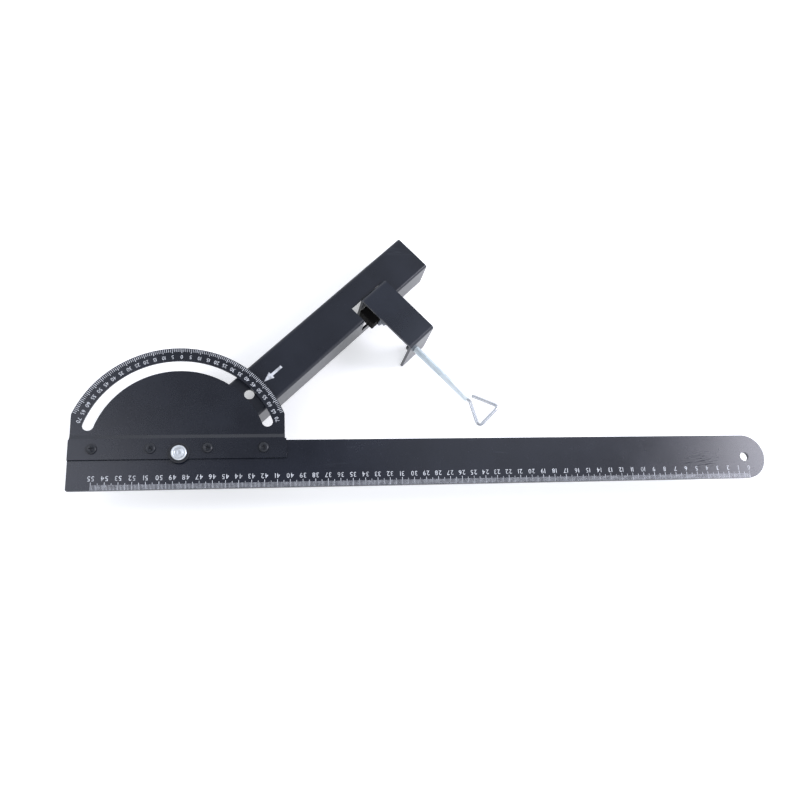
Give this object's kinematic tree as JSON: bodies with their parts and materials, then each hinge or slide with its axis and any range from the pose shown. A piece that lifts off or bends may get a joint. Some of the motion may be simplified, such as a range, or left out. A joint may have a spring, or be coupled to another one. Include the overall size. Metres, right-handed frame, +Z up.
{
  "type": "sliding bevel",
  "caption": "Protractor angle gauge: a graduated flat rule with a half-disc scale plate, a channel fence that swivels under it, and a screw clamp that slides on the fence",
  "frame": {"origin": "bottom centre of the bounding box: below the middle of the tool, at the height of the clamp legs' feet", "axes": "+X runs along the rule toward its rounded zero end, +Y away from the user across the rule, +Z up out of the rule's marked face"},
  "size_m": [0.585, 0.2252, 0.0521],
  "materials": {
    "rule_blade": "satin black paint over sheet steel, white engraved marks",
    "protractor_plate": "satin black paint over sheet steel, white marks",
    "plate_screw": "black oxide",
    "pivot_bolt": "bright zinc plating",
    "pivot_washers": "matt black plastic",
    "zinc_hardware": "bright zinc plating",
    "fence": "satin black paint over bent sheet steel, white arrow",
    "clamp": "satin black paint over bent steel strip",
    "screw_steel": "bright bluish zinc plating on the clamp screw and its foot",
    "handle_wire": "bright zinc-plated wire",
    "pad": "matt black"
  },
  "bodies": {
    "rule": {"rule_blade": "rule_blade", "protractor_plate": "protractor_plate", "plate_screw_1": "plate_screw", "plate_screw_2": "plate_screw", "plate_screw_3": "plate_screw", "plate_screw_4": "plate_screw", "pivot_bolt": "pivot_bolt", "pivot_top_washer": "pivot_washers", "friction_washer": "pivot_washers", "pivot_lower_washer": "zinc_hardware", "pivot_lock_nut": "zinc_hardware"},
    "fence": {"fence_arm": "fence"},
    "clamp": {"clamp_bracket": "clamp", "clamp_boss": "clamp"},
    "pad": {"swivel_pad": "pad", "swivel_foot": "screw_steel"},
    "screw": {"clamp_screw": "screw_steel", "screw_handle": "handle_wire"}
  },
  "joints": [
    {"name": "fence_swivel", "type": "hinge", "parent": "rule", "child": "fence", "pos_m": [-0.2101, -0.08458, 0.0418], "axis": [0, 0, 1], "range_deg": [-21, 117]},
    {"name": "clamp_slide", "type": "slide", "parent": "fence", "child": "clamp", "axis": [0.7314, 0.682, 0], "range_m": [-0.0072, 0.0007]},
    {"name": "pad_travel", "type": "slide", "parent": "clamp", "child": "pad", "axis": [0.682, -0.7314, 0], "range_m": [0, 0.0265]},
    {"name": "screw_turn", "type": "hinge", "parent": "pad", "child": "screw", "pos_m": [-0.01465, 0.01564, 0.0265], "axis": [0.682, -0.7314, 0], "range_deg": [0, 9540.01]}
  ],
  "couplings": [
    {"joint": "screw_turn", "follows": "pad_travel", "rad_per_m": 6283.2}
  ]
}
